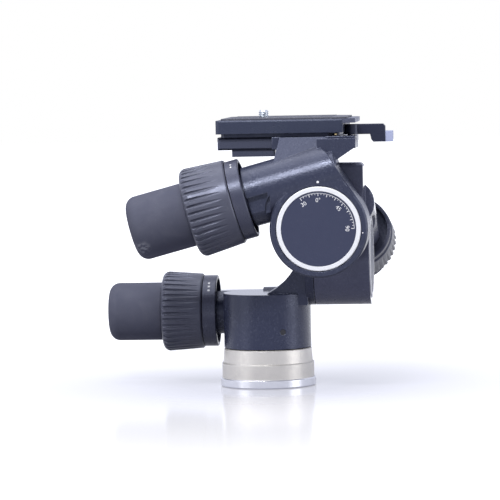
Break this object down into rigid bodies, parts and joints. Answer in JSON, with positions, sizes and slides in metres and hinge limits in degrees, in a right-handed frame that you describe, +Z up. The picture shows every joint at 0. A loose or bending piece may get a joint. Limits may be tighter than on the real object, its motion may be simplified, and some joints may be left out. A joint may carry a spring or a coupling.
{
  "type": "geared tripod head",
  "caption": "Three-axis geared tripod head: worm-driven pan, lateral and front tilt with knobs, clutch collars, dials, quick-release plate and threaded aluminium base.",
  "frame": {"origin": "centre of the base's underside, on the pan axis, at the mouth of the tripod thread", "axes": "+Z up along the pan axis; -Y towards the front-tilt dial; the pan and front-tilt knobs point to -X, the lateral knob to +Y"},
  "size_m": [0.1847, 0.2103, 0.1729],
  "materials": {
    "powder_coat": "black textured powder coat",
    "base_aluminium": "turned, two bands bead-blasted, lowest band polished",
    "ribbed_plastic": "black moulded plastic",
    "grip_rubber": "matt soft rubber",
    "satin_ring": "satin black",
    "bronze": "cut bronze",
    "steel": "turned steel",
    "spring_steel": "spring steel",
    "dial_black": "satin black with white scale",
    "dial_white": "white",
    "seat_coat": "black coat",
    "plate_alloy": "dark anodised",
    "pad_rubber": "cork-rubber pad",
    "chrome": "bright",
    "lever_plastic": "black",
    "tip_grey": "pale blue-grey",
    "vial_acrylic": "clear with green fluid",
    "catch_brass": "bright brass"
  },
  "bodies": {
    "base": {"base_disc": "base_aluminium", "base_screws": "steel", "pan_spindle": "steel", "pan_worm_wheel": "bronze", "pan_wheel_nut": "steel", "pan_friction_washer": "bronze"},
    "pan_body": {"pan_housing": "powder_coat", "pan_retainer": "steel", "pan_plug": "satin_ring", "lateral_spindle": "steel", "lateral_worm_wheel": "bronze", "lateral_wheel_nut": "steel", "lateral_dial": "dial_black", "lateral_dial_ring": "dial_white", "pan_index_ring": "satin_ring", "pan_clutch_spring": "spring_steel", "pan_sleeve": "bronze", "pan_end_bush": "bronze"},
    "lateral_body": {"lateral_housing": "powder_coat", "front_spindle": "steel", "front_worm_wheel": "bronze", "front_wheel_nut": "steel", "front_dial": "dial_black", "front_dial_ring": "dial_white", "lateral_index_ring": "satin_ring", "lateral_clutch_spring": "spring_steel", "lateral_sleeve": "bronze", "lateral_end_bush": "bronze"},
    "tilt_body": {"tilt_housing": "powder_coat", "plate_seat": "seat_coat", "seat_rim": "seat_coat", "seat_screws": "steel", "level_block": "seat_coat", "level_vial": "vial_acrylic", "lever_pin": "steel", "front_index_ring": "satin_ring", "front_clutch_spring": "spring_steel", "front_sleeve": "bronze", "front_end_bush": "bronze"},
    "release_plate": {"quick_release_plate": "plate_alloy", "plate_pad": "pad_rubber"},
    "camera_screw": {"camera_screw": "chrome"},
    "clamp_lever": {"clamp_lever": "lever_plastic", "lever_tip": "tip_grey"},
    "safety_catch": {"safety_catch": "catch_brass"},
    "pan_knob": {"pan_worm": "steel", "pan_core": "ribbed_plastic", "pan_grip": "grip_rubber"},
    "pan_collar": {"pan_collar": "ribbed_plastic"},
    "lateral_knob": {"lateral_worm": "steel", "lateral_core": "ribbed_plastic", "lateral_grip": "grip_rubber"},
    "lateral_collar": {"lateral_collar": "ribbed_plastic"},
    "front_knob": {"front_worm": "steel", "front_core": "ribbed_plastic", "front_grip": "grip_rubber"},
    "front_collar": {"front_collar": "ribbed_plastic"}
  },
  "joints": [
    {"name": "pan", "type": "hinge", "parent": "base", "child": "pan_body", "pos_m": [0, 0, 0.024], "axis": [0, 0, 1], "continuous": true},
    {"name": "lateral_tilt", "type": "hinge", "parent": "pan_body", "child": "lateral_body", "pos_m": [0.0542, 0, 0.08], "axis": [-1, 0, 0], "range_deg": [-30, 90]},
    {"name": "front_tilt", "type": "hinge", "parent": "lateral_body", "child": "tilt_body", "pos_m": [0.0381, -0.058, 0.1018], "axis": [0, 1, 0], "range_deg": [-30, 90]},
    {"name": "pan_knob_spin", "type": "hinge", "parent": "pan_body", "child": "pan_knob", "pos_m": [0, 0.0255, 0.0453], "axis": [-1, 0, 0], "continuous": true},
    {"name": "lateral_knob_spin", "type": "hinge", "parent": "lateral_body", "child": "lateral_knob", "pos_m": [0.0542, 0.00865, 0.10831], "axis": [0, 0.9563, -0.2924], "range_deg": [-1440, 4320]},
    {"name": "front_knob_spin", "type": "hinge", "parent": "tilt_body", "child": "front_knob", "pos_m": [0.03044, -0.058, 0.13039], "axis": [-0.9659, 0, -0.2588], "range_deg": [-4320, 1440]},
    {"name": "pan_collar_turn", "type": "hinge", "parent": "pan_body", "child": "pan_collar", "pos_m": [0, 0.0255, 0.0453], "axis": [-1, 0, 0], "range_deg": [0, 35], "stiffness_Nm_per_rad": 0.4},
    {"name": "lateral_collar_turn", "type": "hinge", "parent": "lateral_body", "child": "lateral_collar", "pos_m": [0.0542, 0.00865, 0.10831], "axis": [0, 0.9563, -0.2924], "range_deg": [0, 35], "stiffness_Nm_per_rad": 0.4},
    {"name": "front_collar_turn", "type": "hinge", "parent": "tilt_body", "child": "front_collar", "pos_m": [0.03044, -0.058, 0.13039], "axis": [-0.9659, 0, -0.2588], "range_deg": [0, 35], "stiffness_Nm_per_rad": 0.4},
    {"name": "lever_swing", "type": "hinge", "parent": "tilt_body", "child": "clamp_lever", "pos_m": [0.0556, -0.012, 0.1604], "axis": [0, 0, -1], "range_deg": [0, 50], "stiffness_Nm_per_rad": 0.05},
    {"name": "catch_press", "type": "slide", "parent": "tilt_body", "child": "safety_catch", "axis": [0, 1, 0], "range_m": [0, 0.0015], "stiffness_N_per_m": 200},
    {"name": "plate_lift", "type": "slide", "parent": "tilt_body", "child": "release_plate", "axis": [0, 0, 1], "range_m": [0, 0.03]},
    {"name": "camera_screw_spin", "type": "hinge", "parent": "release_plate", "child": "camera_screw", "pos_m": [0, 0, 0.1674], "axis": [0, 0, 1], "continuous": true}
  ],
  "couplings": [
    {"joint": "pan_knob_spin", "follows": "pan", "ratio": 48},
    {"joint": "lateral_knob_spin", "follows": "lateral_tilt", "ratio": 48},
    {"joint": "front_knob_spin", "follows": "front_tilt", "ratio": -48}
  ]
}
